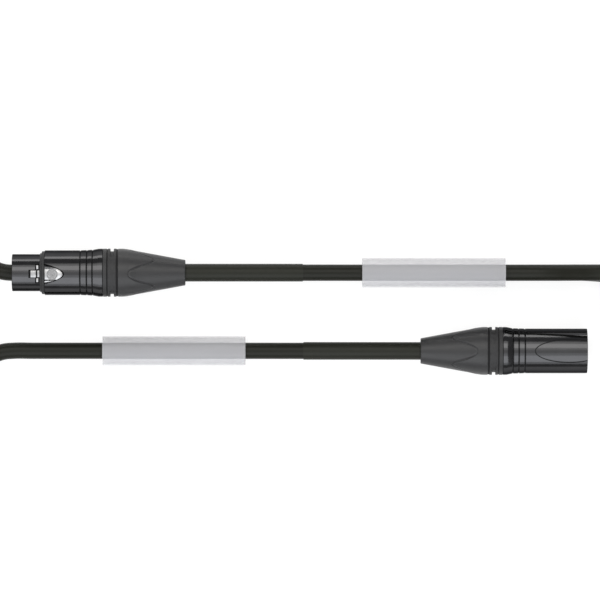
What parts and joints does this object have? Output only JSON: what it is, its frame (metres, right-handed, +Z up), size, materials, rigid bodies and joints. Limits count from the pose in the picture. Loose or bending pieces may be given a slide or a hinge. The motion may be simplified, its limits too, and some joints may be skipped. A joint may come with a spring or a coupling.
{
  "type": "microphone cable",
  "caption": "Balanced microphone cable with a latching female and a male three-pole connector, screw-on boots, label tubes, and its spare length tied in a hank.",
  "frame": {"origin": "on the supporting surface, midway between the two connectors", "axes": "+X from the female connector to the male along both, +Y from the male's line to the female's, +Z up"},
  "size_m": [0.4656, 0.0538, 0.0309],
  "materials": {
    "shell_metal": "black chrome, polished",
    "ring_plastic": "satin moulded plastic",
    "insert_plastic": "matte moulded plastic",
    "contact_metal": "gold plated",
    "bright_metal": "bright nickel",
    "spring_metal": "spring steel",
    "chuck_plastic": "natural grey plastic",
    "gland_plastic": "matte moulded plastic",
    "boot_rubber": "matte soft rubber",
    "cable_jacket": "satin flexible jacket",
    "shield_wire": "twisted bare shield",
    "red_wire": "wire insulation",
    "white_wire": "wire insulation",
    "sleeve_film": "shrink film",
    "label_film": "clear frosted plastic tube",
    "strap_fabric": "woven hook-and-loop"
  },
  "bodies": {
    "cable": {"female_shell": "shell_metal", "female_front_ring": "ring_plastic", "female_insert": "insert_plastic", "female_contact_1": "contact_metal", "female_contact_2": "contact_metal", "female_contact_3": "contact_metal", "female_ground_spring": "spring_metal", "latch_pin": "bright_metal", "latch_spring": "spring_metal", "female_chuck": "chuck_plastic", "female_cable_end": "cable_jacket", "female_wire_1": "shield_wire", "female_wire_2": "red_wire", "female_wire_3": "white_wire", "female_sleeve": "sleeve_film", "male_shell": "shell_metal", "male_insert": "insert_plastic", "male_pin_1": "contact_metal", "male_pin_2": "contact_metal", "male_pin_3": "contact_metal", "male_ground_spring": "spring_metal", "male_chuck": "chuck_plastic", "male_cable_end": "cable_jacket", "male_wire_1": "shield_wire", "male_wire_2": "red_wire", "male_wire_3": "white_wire", "male_sleeve": "sleeve_film", "cord_female_lead": "cable_jacket", "cord_hank": "cable_jacket", "cord_return": "cable_jacket", "cord_male_lead": "cable_jacket", "hank_tie": "strap_fabric"},
    "latch": {"latch_lever": "bright_metal"},
    "female_ring": {"female_coding_ring": "ring_plastic"},
    "female_boot": {"female_boot": "boot_rubber", "female_gland": "gland_plastic"},
    "male_ring": {"male_coding_ring": "ring_plastic"},
    "male_boot": {"male_boot": "boot_rubber", "male_gland": "gland_plastic"},
    "female_label": {"female_label_tube": "label_film"},
    "male_label": {"male_label_tube": "label_film"}
  },
  "joints": [
    {"name": "latch_press", "type": "hinge", "parent": "cable", "child": "latch", "pos_m": [-0.10045, 0.01629, 0.02334], "axis": [0, -0.9976, -0.0698], "range_deg": [0, 4.1], "stiffness_Nm_per_rad": 0.05, "springref_deg": -17.19},
    {"name": "female_boot_travel", "type": "slide", "parent": "cable", "child": "female_ring", "axis": [1, 0, 0], "range_m": [0, 0.0048]},
    {"name": "female_boot_turn", "type": "hinge", "parent": "female_ring", "child": "female_boot", "pos_m": [-0.07765, 0.0167, 0.01745], "axis": [1, 0, 0], "range_deg": [0, 1080]},
    {"name": "male_boot_travel", "type": "slide", "parent": "cable", "child": "male_ring", "axis": [-1, 0, 0], "range_m": [0, 0.0048]},
    {"name": "male_boot_turn", "type": "hinge", "parent": "male_ring", "child": "male_boot", "pos_m": [0.07765, -0.0167, 0.01025], "axis": [-1, 0, 0], "range_deg": [0, 1080]},
    {"name": "female_label_slide", "type": "slide", "parent": "cable", "child": "female_label", "axis": [1, 0, 0], "range_m": [-0.02, 0.0025]},
    {"name": "male_label_slide", "type": "slide", "parent": "cable", "child": "male_label", "axis": [-1, 0, 0], "range_m": [-0.02, 0.0025]}
  ],
  "couplings": [
    {"joint": "female_boot_travel", "follows": "female_boot_turn", "m_per_rad": 0.00023873},
    {"joint": "male_boot_travel", "follows": "male_boot_turn", "m_per_rad": 0.00023873}
  ]
}
